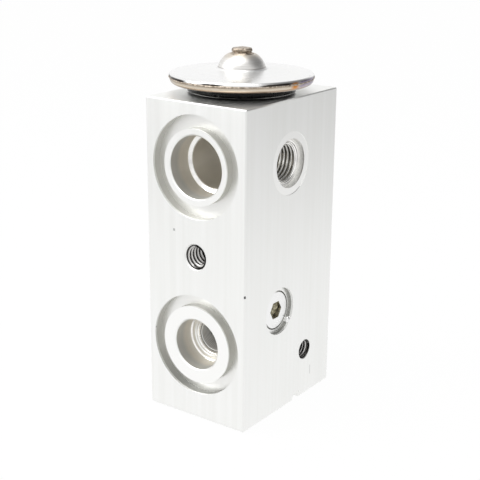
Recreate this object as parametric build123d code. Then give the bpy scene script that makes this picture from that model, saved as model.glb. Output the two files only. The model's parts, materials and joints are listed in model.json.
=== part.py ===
from build123d import *
import os
from math import cos, pi, radians, sin, sqrt

# Block-type thermostatic valve for a refrigeration circuit, cut from one aluminium block.
# Sizes are in millimetres and +Z is up. The origin is the middle of the block's bottom face.
# The pipe side faces -Y, the evaporator side faces +Y, and the sensor side faces +X.
# A power head on top flexes a diaphragm, which pushes a rod down through the suction passage.
# The rod's pin lifts a ball off its seat against a spring, whose load a screw below sets.

# ---- block
BLOCK_W = 29.4            # along X
BLOCK_D = 39.0            # along Y
BLOCK_H = 80.0            # along Z
EDGE_R = 0.5              # upright edges
FOOT_R = 1.2              # lower edges
TOP_EDGE = 0.25           # chamfer round the top face
AXIS_Y = -1.0             # the valve's axis stands this far towards the pipe side

# ---- fits
SHAFT_GAP = 0.05          # radial, between pieces that slide or turn in each other
SEAT_GAP = 0.02           # radial, between pieces pressed or screwed together
FACE_GAP = 0.05           # along the axis, between faces that meet on different bodies
SEAL_GAP = 0.05           # round a soft ring in its groove

# ---- suction passage, upper
SUCTION_Z = 64.7
SUCTION_R = 6.5
SUCTION_SPIGOT_R = 7.6    # bore that takes the pipe's end
SUCTION_SPIGOT_L = 7.5
SUCTION_COLLAR_R = 9.25
SUCTION_GROOVE_R = 12.6

# ---- liquid inlet, lower pipe side
LIQUID_Z = 19.9
LIQUID_R = 4.0
LIQUID_SPIGOT_R = 6.45
LIQUID_SPIGOT_L = 6.5
LIQUID_COLLAR_R = 10.0
LIQUID_GROOVE_R = 12.9
CONE_R = 5.3              # wide end of the cone between spigot bore and passage
CONE_L = 1.2

# ---- evaporator feed, lower evaporator side
FEED_Z = 37.5
FEED_R = 4.0

GROOVE_DEPTH = 2.6        # ring groove round each pipe-side port
COLLAR_DROP = 0.15        # turned collar faces lie this far under the block's face
PORT_CHAMFER = 0.3

# ---- threaded holes, at their major radius
CLAMP_R = 3.0
CLAMP_L = 12.0
CLAMP_Z = 42.7
CLAMP_CHAMFER = 0.35
REAR_CLAMP_Z = 50.5
BRACKET_R = 2.5
BRACKET_L = 8.0
BRACKET_Y = 7.4
BRACKET_Z = 13.2
BRACKET_CHAMFER = 0.15
DRILL_POINT = 118.0       # included angle of a twist drill's tip, degrees

# ---- sensor port
SENSOR_R = 5.0
SENSOR_Y = -0.9
SENSOR_Z = 64.4
SENSOR_SPOT_R = 7.75
SENSOR_SPOT_DEPTH = 0.12
SENSOR_SEAT_R = 6.0
SENSOR_SEAT_DEPTH = 1.55

# ---- side plug and its drilling
PLUG_Y = -4.5
PLUG_Z = 27.6
PLUG_R = 5.0
PLUG_L = 5.0
PLUG_MOUTH_R = 6.0
PLUG_MOUTH_DEPTH = 1.2
PLUG_NOSE_R = 3.2
PLUG_NOSE_L = 1.8
PLUG_HEX = 4.2            # across flats
PLUG_HEX_DEPTH = 2.6
PLUG_EDGE = 0.35
SIDE_DRILL_R = 2.5

# ---- vent groove under the sensor side
VENT_R = 2.0
VENT_Y = 4.1
VENT_Z = 0.4

# ---- bores on the valve's axis, from the bottom up
SCREW_R = 8.0
SCREW_BORE_TOP = 8.0
SCREW_MOUTH = 0.6
SEAL_BORE_R = 7.0
SEAL_BORE_TOP = 15.0
CHAMBER_R = 6.2
SEAT_Z = 30.5             # underside of the wall between chamber and outlet
SEAT_RING_R = 4.5
SEAT_RING_H = 3.0
OUTLET_R = 3.4
ORIFICE_R = 2.1
ORIFICE_MOUTH = 1.1       # 45 degree countersink under the orifice
GUIDE_TOP = 46.0          # the pin's guide ends here and the rod's bore begins
ROD_BORE_TOP = 52.5
SEAL_POCKET_R = 4.6
HEAD_THREAD_R = 11.0
HEAD_BORE_DEPTH = 6.8
HEAD_LINK_R = 5.2

# ---- moving stack
STROKE = 0.6
BALL_R = 2.75
BALL_GAP = 0.1
PIN_R = 1.2
PIN_IN_ROD = 4.0
ROD_R = 2.8
ROD_LOW = 2.0             # the rod's end stops this far above the guide
ROD_EDGE = 0.3
PAD_R = 9.4
PAD_HUB_R = 4.6
PAD_HUB_L = 4.2
PAD_WEB = 1.1             # metal over the rod's end
CARRIER_R = 4.8
CARRIER_T = 1.2
CARRIER_BOSS_R = 3.5
CARRIER_SPIGOT_R = 3.0
CARRIER_SPIGOT_L = 2.0
CARRIER_FLOOR = 0.9       # metal under the ball
BALL_GRIP = 0.9           # the cup's lip lies this far under the ball's middle
DAMPER_T = 0.25
DAMPER_DROP = 4.0
DAMPER_FINGERS = 6
DAMPER_SLOT = 1.6
WIRE_R = 0.65
COIL_R = 3.9
COIL_TURNS = 5.0
FLATS = 8                 # sides of a wire's or a soft ring's section, kept few as they repeat

# ---- adjusting screw
SCREW_SINK = 1.5          # the screw's face lies this far above the bottom face
SCREW_HEAD_L = 5.0
SCREW_LAND_TOP = 13.0
SCREW_LAND_GROOVE_R = 5.2
SCREW_GROOVE_Z = 9.3
SCREW_GROOVE_W = 2.1
SCREW_SPIGOT_R = 3.0
SCREW_SPIGOT_L = 2.0
SCREW_HEX = 6.0
SCREW_HEX_DEPTH = 4.5

# ---- rod seal
ROD_SEAL_H = 1.8
RETAINER_T = 0.8
RETAINER_TEETH = 6
RETAINER_SLOT = 0.9

# ---- power head
RIM_Z = 3.9               # the two covers meet this far above the block
RIM_R = 17.4
FLANGE_T = 1.55
FLANGE_ROUND = 1.2
CLAMP_RING_W = 2.7        # ring at the rim where the covers pinch the diaphragm
NECK_BORE_R = 7.2
NECK_END = 6.2            # length of the neck inside the block
CAVITY_DROP = 0.6
CAVITY_SLOPE = 0.4        # from the pinched ring in to the cavity
POCKET_R = 9.9
DIAPHRAGM_T = 0.16
DIAPHRAGM_INSET = 0.4     # the sheet ends this far inside the rim
WAVE_HEIGHT = 0.17
WAVES = 2
WAVE_STEPS = 4
PAD_T = 2.0
COVER_T = 0.8
COVER_LIP = 0.1           # the upper cover stands this far past the lower one
COVER_RIM_T = 1.0
COVER_ROUND = 0.75
COVER_RISE = 0.85         # from the rim's top to the dome's flare
FLARE_W = 0.6
FLARE_H = 0.45
DOME_R = 5.7
DOME_H = 3.05
DOME_TOP_R = 3.4
DOME_BULGE = 0.3
FOOT_BLEND = 0.35
FILL_HOLE_R = 1.0
CHARGE_R = 2.45
CHARGE_H = 1.45
CHARGE_STEM = 1.2
WELD_LOW_R = 3.0          # the weld narrows upwards and leaves an undercut below the head
WELD_HIGH_R = 2.2
WELD_H = 0.6
NECK_SEAL_LOW_R = 13.6
NECK_SEAL_HIGH_R = 12.75
NECK_SEAL_BULGE = 0.35

# ---- worked out from the sizes above
FRONT = -BLOCK_D / 2
BACK = BLOCK_D / 2
SIDE = BLOCK_W / 2
OVER = 1.0                # how far a cut runs past the face it starts from
HEAD_FLOOR = BLOCK_H - HEAD_BORE_DEPTH
CLAMP_RING_R = RIM_R - CLAMP_RING_W
CAVITY_R = CLAMP_RING_R - CAVITY_SLOPE
DIAPHRAGM_R = RIM_R - DIAPHRAGM_INSET
COVER_RIM_R = RIM_R + COVER_LIP
JOIN_Z = BLOCK_H + RIM_Z
FLANGE_LOW = JOIN_Z - FLANGE_T
ORIFICE_EDGE_Z = SEAT_Z + ORIFICE_MOUTH
BALL_Z = ORIFICE_EDGE_Z - sqrt(BALL_R**2 - ORIFICE_R**2) - BALL_GAP
SEAT_RING_TOP = SEAT_Z + SEAT_RING_H
ROD_END = GUIDE_TOP + ROD_LOW
DIAPHRAGM_LOW = JOIN_Z - DIAPHRAGM_T / 2
PAD_TOP = DIAPHRAGM_LOW - FACE_GAP
PAD_LOW = PAD_TOP - PAD_T
STOP_Z = PAD_LOW - STROKE - FACE_GAP
ROD_TOP = PAD_TOP - PAD_WEB
CARRIER_LOW = BALL_Z - BALL_R - CARRIER_FLOOR
CARRIER_SHELF = CARRIER_LOW + CARRIER_T
COVER_TOP = JOIN_Z + COVER_RIM_T
FLARE_Z = COVER_TOP + COVER_RISE
DOME_FOOT_Z = FLARE_Z + FLARE_H
DOME_TOP_Z = DOME_FOOT_Z + DOME_H
PLUG_BORE_L = PLUG_MOUTH_DEPTH + PLUG_L + FACE_GAP


def outline(*points):
    """Closed outline in the XZ plane, from (radius, height) pairs."""
    return Polyline(*[(r, 0, z) for r, z in points], close=True)


def spun(profile):
    """Turn an outline round the Z axis."""
    return revolve(make_face(profile), Axis.Z)


def on_axis(shape):
    """Move a turned piece to the valve's axis."""
    return Pos(0, AXIS_Y, 0) * shape


def column(radius, low, high):
    """Round bar on the valve's axis between two heights."""
    return on_axis(Pos(0, 0, (low + high) / 2) * Cylinder(radius, high - low))


def tube(inner, outer, low, high):
    return column(outer, low, high) - column(inner, low - OVER, high + OVER)


def front(x, z):
    return Plane((x, FRONT, z), x_dir=(1, 0, 0), z_dir=(0, -1, 0)).location


def back(x, z):
    return Plane((x, BACK, z), x_dir=(-1, 0, 0), z_dir=(0, 1, 0)).location


def side(y, z):
    return Plane((SIDE, y, z), x_dir=(0, 1, 0), z_dir=(1, 0, 0)).location


def stepped_hole(where, *steps):
    """Cut made from a face inwards: steps are (radius, depth) pairs from the mouth."""
    corners = [(0, OVER), (steps[0][0], OVER)]
    corners += [(radius, -depth) for radius, depth in steps]
    corners.append((0, -steps[-1][1]))
    return where * spun(outline(*corners))


def blind_thread(where, radius, length, chamfer):
    """Tapped hole at its major radius, with a lead-in and a drill point."""
    tip = radius / (sin(radians(DRILL_POINT / 2)) / cos(radians(DRILL_POINT / 2)))
    mouth = radius + chamfer
    corners = [(0, OVER), (mouth, OVER), (mouth, 0), (radius, -chamfer)]
    corners += [(radius, -length), (0, -length - tip)]
    return where * spun(outline(*corners))


def ring_groove(where, inner, outer):
    """Ring groove round a port, with the collar inside it turned a little lower."""
    ring = outline((inner, OVER), (outer, OVER), (outer, -GROOVE_DEPTH), (inner, -GROOVE_DEPTH))
    collar = outline((0, OVER), (inner + OVER, OVER), (inner + OVER, -COLLAR_DROP), (0, -COLLAR_DROP))
    return where * (spun(ring) + spun(collar))


def suction_port(where):
    """Half of the suction passage, from a face to the valve's axis."""
    mouth = SUCTION_SPIGOT_R + PORT_CHAMFER
    return stepped_hole(
        where,
        (mouth, 0), (mouth, COLLAR_DROP), (SUCTION_SPIGOT_R, COLLAR_DROP + PORT_CHAMFER),
        (SUCTION_SPIGOT_R, SUCTION_SPIGOT_L), (SUCTION_R, SUCTION_SPIGOT_L),
        (SUCTION_R, BLOCK_D / 2),
    )


def small_port(where, passage, reach):
    """Spigot bore, flat ledge, cone and passage, from a face to the valve's axis."""
    mouth = LIQUID_SPIGOT_R + PORT_CHAMFER
    return stepped_hole(
        where,
        (mouth, 0), (mouth, COLLAR_DROP), (LIQUID_SPIGOT_R, COLLAR_DROP + PORT_CHAMFER),
        (LIQUID_SPIGOT_R, LIQUID_SPIGOT_L), (CONE_R, LIQUID_SPIGOT_L),
        (passage, LIQUID_SPIGOT_L + CONE_L), (passage, reach),
    )


def axis_bores():
    """Everything drilled along the valve's axis, from below and from above."""
    mouth = outline(
        (0, -OVER), (SCREW_R + SCREW_MOUTH + OVER, -OVER), (SCREW_R, SCREW_MOUTH), (0, SCREW_MOUTH))
    return [
        column(SCREW_R, -OVER, SCREW_BORE_TOP),
        on_axis(spun(mouth)),
        column(SEAL_BORE_R, 0, SEAL_BORE_TOP),
        column(CHAMBER_R, 0, SEAT_Z),
        column(SEAT_RING_R + SEAT_GAP, 0, SEAT_RING_TOP),
        column(OUTLET_R, 0, FEED_Z + OUTLET_R),
        column(PIN_R + SHAFT_GAP, 0, GUIDE_TOP + OVER),
        column(ROD_R + SHAFT_GAP, GUIDE_TOP, SUCTION_Z),
        column(SEAL_POCKET_R, ROD_BORE_TOP, SUCTION_Z),
        column(HEAD_LINK_R, SUCTION_Z, BLOCK_H),
        column(HEAD_THREAD_R, HEAD_FLOOR, BLOCK_H + OVER),
    ]


def sensor_port():
    bottom = SIDE - sqrt(SUCTION_R**2 - SENSOR_R**2)
    return stepped_hole(
        side(SENSOR_Y, SENSOR_Z),
        (SENSOR_SPOT_R, 0), (SENSOR_SPOT_R, SENSOR_SPOT_DEPTH),
        (SENSOR_SEAT_R, SENSOR_SPOT_DEPTH), (SENSOR_SEAT_R, SENSOR_SEAT_DEPTH),
        (SENSOR_R, SENSOR_SEAT_DEPTH), (SENSOR_R, bottom + OVER),
    )


def plug_hole():
    return stepped_hole(
        side(PLUG_Y, PLUG_Z),
        (PLUG_MOUTH_R, 0), (PLUG_MOUTH_R, PLUG_MOUTH_DEPTH), (PLUG_R, PLUG_MOUTH_DEPTH),
        (PLUG_R, PLUG_BORE_L), (SIDE_DRILL_R, PLUG_BORE_L), (SIDE_DRILL_R, SIDE),
    )


def vent_groove():
    """Half-round groove from the sensor side into the screw's bore."""
    length = SIDE + OVER - SCREW_R / 2
    bar = Rot(0, 90, 0) * Cylinder(VENT_R, length)
    return Pos(SIDE + OVER - length / 2, VENT_Y, VENT_Z) * bar


def valve_body():
    block = Pos(0, 0, BLOCK_H / 2) * Box(BLOCK_W, BLOCK_D, BLOCK_H)
    block = fillet(block.faces().sort_by(Axis.Z)[0].edges(), FOOT_R)
    block = fillet(block.edges().filter_by(Axis.Z), EDGE_R)
    block = chamfer(block.faces().sort_by(Axis.Z)[-1].edges(), TOP_EDGE)
    block -= suction_port(front(0, SUCTION_Z))
    block -= suction_port(back(0, SUCTION_Z))
    block -= ring_groove(front(0, SUCTION_Z), SUCTION_COLLAR_R, SUCTION_GROOVE_R)
    block -= small_port(front(0, LIQUID_Z), LIQUID_R, AXIS_Y - FRONT)
    block -= ring_groove(front(0, LIQUID_Z), LIQUID_COLLAR_R, LIQUID_GROOVE_R)
    block -= small_port(back(0, FEED_Z), FEED_R, BACK - AXIS_Y)
    block -= blind_thread(front(0, CLAMP_Z), CLAMP_R, CLAMP_L, CLAMP_CHAMFER)
    block -= blind_thread(back(0, REAR_CLAMP_Z), CLAMP_R, CLAMP_L, CLAMP_CHAMFER)
    block -= blind_thread(side(BRACKET_Y, BRACKET_Z), BRACKET_R, BRACKET_L, BRACKET_CHAMFER)
    block -= sensor_port()
    block -= plug_hole()
    block -= vent_groove()
    for bore in axis_bores():
        block -= bore
    return block


def hex_socket(flats, depth):
    """Hexagonal prism for a key, standing on the XY plane."""
    return extrude(RegularPolygon(flats / 2, 6, major_radius=False), depth)


def side_plug():
    """Threaded plug with a key socket and a nose for its sealing ring."""
    body = spun(outline(
        (0, 0), (PLUG_R - SEAT_GAP - PLUG_EDGE, 0), (PLUG_R - SEAT_GAP, -PLUG_EDGE),
        (PLUG_R - SEAT_GAP, PLUG_NOSE_L - PLUG_L), (PLUG_NOSE_R, PLUG_NOSE_L - PLUG_L),
        (PLUG_NOSE_R, -PLUG_L), (0, -PLUG_L)))
    body -= Pos(0, 0, -PLUG_HEX_DEPTH) * hex_socket(PLUG_HEX, PLUG_HEX_DEPTH + OVER)
    return side(PLUG_Y, PLUG_Z) * Pos(0, 0, -PLUG_MOUTH_DEPTH) * body


def soft_ring(inner, outer, height):
    """Ring that lies in a groove of the given radii and height, with flats on its walls."""
    reach = min((outer - inner) / 2 - SEAL_GAP, height / 2)
    section = RegularPolygon(reach, FLATS, major_radius=False, rotation=180 / FLATS)
    return revolve(Plane.XZ * Pos((inner + outer) / 2, 0) * section, Axis.Z)


def side_plug_seal():
    ring = soft_ring(PLUG_NOSE_R, PLUG_R, PLUG_NOSE_L)
    depth = PLUG_MOUTH_DEPTH + PLUG_L - PLUG_NOSE_L / 2
    return side(PLUG_Y, PLUG_Z) * Pos(0, 0, -depth) * ring


def valve_seat():
    """Hardened ring pressed into the wall; the ball closes its countersunk edge."""
    ring = spun(outline(
        (ORIFICE_R + ORIFICE_MOUTH, SEAT_Z), (SEAT_RING_R, SEAT_Z), (SEAT_RING_R, SEAT_RING_TOP),
        (ORIFICE_R, SEAT_RING_TOP), (ORIFICE_R, ORIFICE_EDGE_Z)))
    return on_axis(ring)


def valve_ball():
    return on_axis(Pos(0, 0, BALL_Z) * Sphere(BALL_R))


def ball_carrier():
    """Turned carrier: spigot inside the spring, flange on it, and a cup for the ball."""
    lip = BALL_Z - BALL_GRIP
    body = spun(outline(
        (0, CARRIER_LOW - CARRIER_SPIGOT_L), (CARRIER_SPIGOT_R, CARRIER_LOW - CARRIER_SPIGOT_L),
        (CARRIER_SPIGOT_R, CARRIER_LOW), (CARRIER_R, CARRIER_LOW), (CARRIER_R, CARRIER_SHELF),
        (CARRIER_BOSS_R, CARRIER_SHELF), (CARRIER_BOSS_R, lip), (0, lip)))
    return on_axis(body - Pos(0, 0, BALL_Z) * Sphere(BALL_R + SEAT_GAP))


def damper_spring():
    """Thin star spring: fingers hang from a washer and rub on the chamber's wall."""
    wall = CHAMBER_R - SHAFT_GAP
    low = CARRIER_SHELF - DAMPER_DROP
    bend = CARRIER_R + SHAFT_GAP + DAMPER_T
    mid = (low + CARRIER_SHELF) / 2
    top = CARRIER_SHELF + DAMPER_T
    skirt = spun(outline(
        (CARRIER_BOSS_R + SEAT_GAP, CARRIER_SHELF), (bend - DAMPER_T, CARRIER_SHELF),
        (wall - DAMPER_T, mid), (bend - DAMPER_T, low), (bend, low), (wall, mid), (bend, top),
        (CARRIER_BOSS_R + SEAT_GAP, top)))
    slot = Pos(CARRIER_R + CHAMBER_R / 2, 0, low) * Box(CHAMBER_R, DAMPER_SLOT, 2 * DAMPER_DROP)
    for finger in range(DAMPER_FINGERS):
        skirt -= Rot(0, 0, 360 * finger / DAMPER_FINGERS) * slot
    return on_axis(skirt)


def superheat_spring():
    """Coil spring with ground ends. Its wire's section has the area of a round wire."""
    low = SCREW_LAND_TOP + FACE_GAP
    high = CARRIER_LOW - FACE_GAP
    length = high - low
    pitch = (length - 2 * WIRE_R) / (COIL_TURNS - 1)
    path = Helix(pitch, length + 2 * WIRE_R, COIL_R, center=(0, 0, low - WIRE_R))
    start = Plane(path @ 0, z_dir=path % 0)
    reach = WIRE_R * sqrt(2 * pi / (FLATS * sin(2 * pi / FLATS)))
    coil = sweep(start * RegularPolygon(reach, FLATS), path=path, is_frenet=True)
    ground = Pos(0, 0, (low + high) / 2) * Cylinder(COIL_R + 2 * WIRE_R, length)
    return on_axis(coil & ground)


def adjusting_screw():
    """Screw with a key socket below, a ring groove, and a spigot inside the spring."""
    thread = SCREW_R - SHAFT_GAP
    land = SEAL_BORE_R - SHAFT_GAP
    groove_top = SCREW_GROOVE_Z + SCREW_GROOVE_W
    head_top = SCREW_SINK + SCREW_HEAD_L
    body = spun(outline(
        (0, SCREW_SINK), (thread - SCREW_MOUTH, SCREW_SINK), (thread, SCREW_SINK + SCREW_MOUTH),
        (thread, head_top), (land, head_top), (land, SCREW_GROOVE_Z),
        (SCREW_LAND_GROOVE_R, SCREW_GROOVE_Z), (SCREW_LAND_GROOVE_R, groove_top),
        (land, groove_top), (land, SCREW_LAND_TOP), (SCREW_SPIGOT_R, SCREW_LAND_TOP),
        (SCREW_SPIGOT_R, SCREW_LAND_TOP + SCREW_SPIGOT_L), (0, SCREW_LAND_TOP + SCREW_SPIGOT_L)))
    key = Pos(0, 0, SCREW_SINK - OVER) * hex_socket(SCREW_HEX, SCREW_HEX_DEPTH + OVER)
    return on_axis(body - key)


def screw_seal():
    middle = SCREW_GROOVE_Z + SCREW_GROOVE_W / 2
    return on_axis(Pos(0, 0, middle) * soft_ring(SCREW_LAND_GROOVE_R, SEAL_BORE_R, SCREW_GROOVE_W))


def valve_pin():
    return column(PIN_R, BALL_Z + BALL_R + SEAT_GAP, ROD_END + PIN_IN_ROD - SEAT_GAP)


def sensing_rod():
    """Rod that crosses the suction gas, with the pin's hole in its lower end."""
    body = spun(outline(
        (0, ROD_END), (ROD_R - ROD_EDGE, ROD_END), (ROD_R, ROD_END + ROD_EDGE),
        (ROD_R, ROD_TOP - ROD_EDGE), (ROD_R - ROD_EDGE, ROD_TOP), (0, ROD_TOP)))
    return on_axis(body) - column(PIN_R + SEAT_GAP, ROD_END - OVER, ROD_END + PIN_IN_ROD)


def rod_seal():
    middle = ROD_BORE_TOP + ROD_SEAL_H / 2
    return on_axis(Pos(0, 0, middle) * soft_ring(ROD_R, SEAL_POCKET_R, ROD_SEAL_H))


def rod_seal_retainer():
    """Push-in washer with teeth round its rim, above the rod's sealing ring."""
    low = ROD_BORE_TOP + ROD_SEAL_H + FACE_GAP
    washer = tube(ROD_R + 2 * SHAFT_GAP, SEAL_POCKET_R - SEAT_GAP, low, low + RETAINER_T)
    notch = Pos(SEAL_POCKET_R, 0, low + RETAINER_T / 2)
    notch *= Box(RETAINER_SLOT, RETAINER_SLOT, RETAINER_T + OVER)
    for tooth in range(RETAINER_TEETH):
        washer -= on_axis(Rot(0, 0, 360 * tooth / RETAINER_TEETH) * notch)
    return washer


def diaphragm_pad():
    """Flat pad under the diaphragm, with a hub that holds the rod."""
    hub_low = PAD_LOW - PAD_HUB_L
    body = spun(outline(
        (ROD_R + SEAT_GAP, hub_low), (PAD_HUB_R, hub_low), (PAD_HUB_R, PAD_LOW), (PAD_R, PAD_LOW),
        (PAD_R, PAD_TOP), (0, PAD_TOP), (0, ROD_TOP + SEAT_GAP), (ROD_R + SEAT_GAP, ROD_TOP + SEAT_GAP)))
    return on_axis(body)


def diaphragm():
    """Thin sheet with ring waves, flat in the middle and where the covers pinch it."""
    steps = WAVE_STEPS * WAVES
    start = PAD_R + SHAFT_GAP
    width = CAVITY_R - start
    rim = (DIAPHRAGM_R, JOIN_Z)
    wave = []
    for i in range(steps + 1):
        share = i / steps
        wave.append((start + share * width, JOIN_Z + WAVE_HEIGHT * sin(2 * pi * WAVES * share)))
    middle = [(0, JOIN_Z)] + wave + [rim]
    half = DIAPHRAGM_T / 2
    upper = [(r, z + half) for r, z in middle]
    lower = [(r, z - half) for r, z in reversed(middle)]
    return on_axis(spun(outline(*upper, *lower)))


def head_lower_cover():
    """Turned cover: threaded neck, stop ledge for the pad, and the lower half of the rim."""
    clamp_z = DIAPHRAGM_LOW
    edge = RIM_R - FLANGE_ROUND
    neck = HEAD_THREAD_R - SEAT_GAP
    neck_low = BLOCK_H - NECK_END
    cavity_z = clamp_z - CAVITY_DROP
    corner = FLANGE_ROUND * (1 - sqrt(0.5))
    sides = Polyline(
        (edge, 0, FLANGE_LOW), (neck, 0, FLANGE_LOW), (neck, 0, neck_low), (NECK_BORE_R, 0, neck_low),
        (NECK_BORE_R, 0, STOP_Z), (POCKET_R, 0, STOP_Z), (POCKET_R, 0, cavity_z),
        (CAVITY_R, 0, cavity_z), (CLAMP_RING_R, 0, clamp_z), (RIM_R, 0, clamp_z),
        (RIM_R, 0, FLANGE_LOW + FLANGE_ROUND))
    round_edge = ThreePointArc(
        (RIM_R, 0, FLANGE_LOW + FLANGE_ROUND), (RIM_R - corner, 0, FLANGE_LOW + corner),
        (edge, 0, FLANGE_LOW))
    return on_axis(spun(sides + round_edge))


def dome_curve(drop):
    """Side of the dome, as an arc from its foot to its flat top, moved in by a wall."""
    foot = (DOME_R - drop, 0, DOME_FOOT_Z - drop)
    top = (DOME_TOP_R - drop, 0, DOME_TOP_Z - drop)
    middle = ((foot[0] + top[0]) / 2 + DOME_BULGE, 0, (foot[2] + top[2]) / 2 + DOME_BULGE)
    return ThreePointArc(foot, middle, top)


def head_upper_cover():
    """Pressed cover: rounded rim, rising plate, and a flat-topped dome on a flared foot."""
    low = JOIN_Z + DIAPHRAGM_T / 2
    edge = COVER_RIM_R - COVER_ROUND
    corner = COVER_ROUND * (1 - sqrt(0.5))
    inner_rim = (CAVITY_R, 0, COVER_TOP - COVER_T + FOOT_BLEND)
    outside = Polyline((CLAMP_RING_R, 0, low), (COVER_RIM_R, 0, low),
                       (COVER_RIM_R, 0, COVER_TOP - COVER_ROUND))
    outside += ThreePointArc(
        (COVER_RIM_R, 0, COVER_TOP - COVER_ROUND), (COVER_RIM_R - corner, 0, COVER_TOP - corner),
        (edge, 0, COVER_TOP))
    outside += Polyline(
        (edge, 0, COVER_TOP), (DOME_R + FLARE_W, 0, FLARE_Z), (DOME_R, 0, DOME_FOOT_Z))
    outside += dome_curve(0)
    crown = Polyline(
        (DOME_TOP_R, 0, DOME_TOP_Z), (FILL_HOLE_R, 0, DOME_TOP_Z),
        (FILL_HOLE_R, 0, DOME_TOP_Z - COVER_T), (DOME_TOP_R - COVER_T, 0, DOME_TOP_Z - COVER_T))
    inside = Polyline(
        (DOME_R - COVER_T, 0, DOME_FOOT_Z - COVER_T), (DOME_R + FLARE_W - COVER_T, 0, FLARE_Z - COVER_T),
        inner_rim, (CLAMP_RING_R, 0, low))
    return on_axis(spun(outside + crown + dome_curve(COVER_T) + inside))


def charge_plug():
    """Filling plug: a stem in the cover's hole, and a low head over a ring of weld."""
    stem = FILL_HOLE_R - SEAT_GAP
    low = DOME_TOP_Z - CHARGE_STEM
    weld_top = DOME_TOP_Z + WELD_H
    top = DOME_TOP_Z + CHARGE_H
    return on_axis(spun(outline(
        (0, low), (stem, low), (stem, DOME_TOP_Z), (WELD_LOW_R, DOME_TOP_Z),
        (WELD_HIGH_R, weld_top), (CHARGE_R, weld_top), (CHARGE_R, top - FOOT_BLEND),
        (CHARGE_R - FOOT_BLEND, top), (0, top))))


def head_seal():
    """Soft ring squeezed between the block's top and the head, bulging outwards."""
    inner = HEAD_THREAD_R + SEAL_GAP
    middle_r = (NECK_SEAL_LOW_R + NECK_SEAL_HIGH_R) / 2 + NECK_SEAL_BULGE
    wall = Polyline((NECK_SEAL_HIGH_R, 0, FLANGE_LOW), (inner, 0, FLANGE_LOW), (inner, 0, BLOCK_H),
                    (NECK_SEAL_LOW_R, 0, BLOCK_H))
    bulge = ThreePointArc((NECK_SEAL_LOW_R, 0, BLOCK_H), (middle_r, 0, (BLOCK_H + FLANGE_LOW) / 2),
                          (NECK_SEAL_HIGH_R, 0, FLANGE_LOW))
    return on_axis(spun(wall + bulge))


PIECES = [
    valve_body, valve_seat, valve_ball, ball_carrier, damper_spring, superheat_spring,
    adjusting_screw, screw_seal, valve_pin, sensing_rod, rod_seal, rod_seal_retainer,
    diaphragm_pad, diaphragm, head_lower_cover, head_upper_cover, charge_plug, head_seal,
    side_plug, side_plug_seal,
]

os.makedirs("parts", exist_ok=True)
for piece in PIECES:
    export_step(piece(), f"parts/{piece.__name__}.step")
print(len(PIECES), "pieces written")
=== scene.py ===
# %% [markdown]
# # A block-type expansion valve, dressed for a studio picture
#
# The real valve is one aluminium block, drilled and turned, with a polished power head screwed
# into its top. The CAD model already holds every solid at its real size. This notebook loads
# that model as a fixed frame and adds what a solid model leaves out: thread ridges, a weld
# bead, tool marks, die lines and heat tint. Then it sets the camera, the lamps and the floor.

# %% Load the fixed frame
import json
import math
import bmesh
import bpy
import numpy as np
from mathutils import Matrix, Vector


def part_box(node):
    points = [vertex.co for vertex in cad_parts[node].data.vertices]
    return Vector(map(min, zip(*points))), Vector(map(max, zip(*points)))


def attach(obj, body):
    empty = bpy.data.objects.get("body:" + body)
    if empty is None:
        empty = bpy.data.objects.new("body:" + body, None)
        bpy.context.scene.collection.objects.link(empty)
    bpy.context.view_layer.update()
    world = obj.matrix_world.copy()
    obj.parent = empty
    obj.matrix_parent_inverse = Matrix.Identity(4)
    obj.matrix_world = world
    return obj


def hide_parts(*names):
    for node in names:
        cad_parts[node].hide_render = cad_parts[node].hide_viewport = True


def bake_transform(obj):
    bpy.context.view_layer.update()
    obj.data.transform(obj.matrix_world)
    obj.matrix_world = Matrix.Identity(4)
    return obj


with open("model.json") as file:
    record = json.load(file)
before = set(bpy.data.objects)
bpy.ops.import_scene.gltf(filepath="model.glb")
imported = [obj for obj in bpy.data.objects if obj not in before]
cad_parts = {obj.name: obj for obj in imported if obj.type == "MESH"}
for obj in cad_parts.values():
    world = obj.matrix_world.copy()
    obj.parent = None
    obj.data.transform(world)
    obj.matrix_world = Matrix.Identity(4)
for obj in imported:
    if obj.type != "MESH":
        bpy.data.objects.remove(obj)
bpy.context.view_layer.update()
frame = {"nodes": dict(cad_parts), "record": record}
MM = 0.001
nodes = frame["nodes"]

# %% [markdown]
# ## The camera
#
# A product picture of a small part is taken with a long lens from a hand's length or two away,
# so upright edges nearly stay parallel. The camera is placed by its direction from the object
# (an azimuth and an elevation), a distance, and the point that it looks at. It could be turned
# with a Track To constraint, but writing the rotation from its three axes also gives the small
# roll that a hand-held camera has.

# %% Camera
AZIMUTH = math.radians(35.76)
ELEVATION = math.radians(17.94)
ROLL = math.radians(0.46)
DISTANCE = 265.5 * MM
FOCAL_MM = 78.2
SENSOR_MM = 36.0
AIM_HEIGHT = 40.0 * MM
AIM_RIGHT = -0.66 * MM
AIM_UP = 1.97 * MM


def camera_axes():
    """Right, up and backward unit vectors: backward points from the object to the camera."""
    back = np.array([math.sin(AZIMUTH) * math.cos(ELEVATION),
                     -math.cos(AZIMUTH) * math.cos(ELEVATION), math.sin(ELEVATION)])
    level = np.array([math.cos(AZIMUTH), math.sin(AZIMUTH), 0.0])
    upright = np.cross(back, level)
    right = math.cos(ROLL) * level + math.sin(ROLL) * upright
    up = -math.sin(ROLL) * level + math.cos(ROLL) * upright
    return right, up, back


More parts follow.
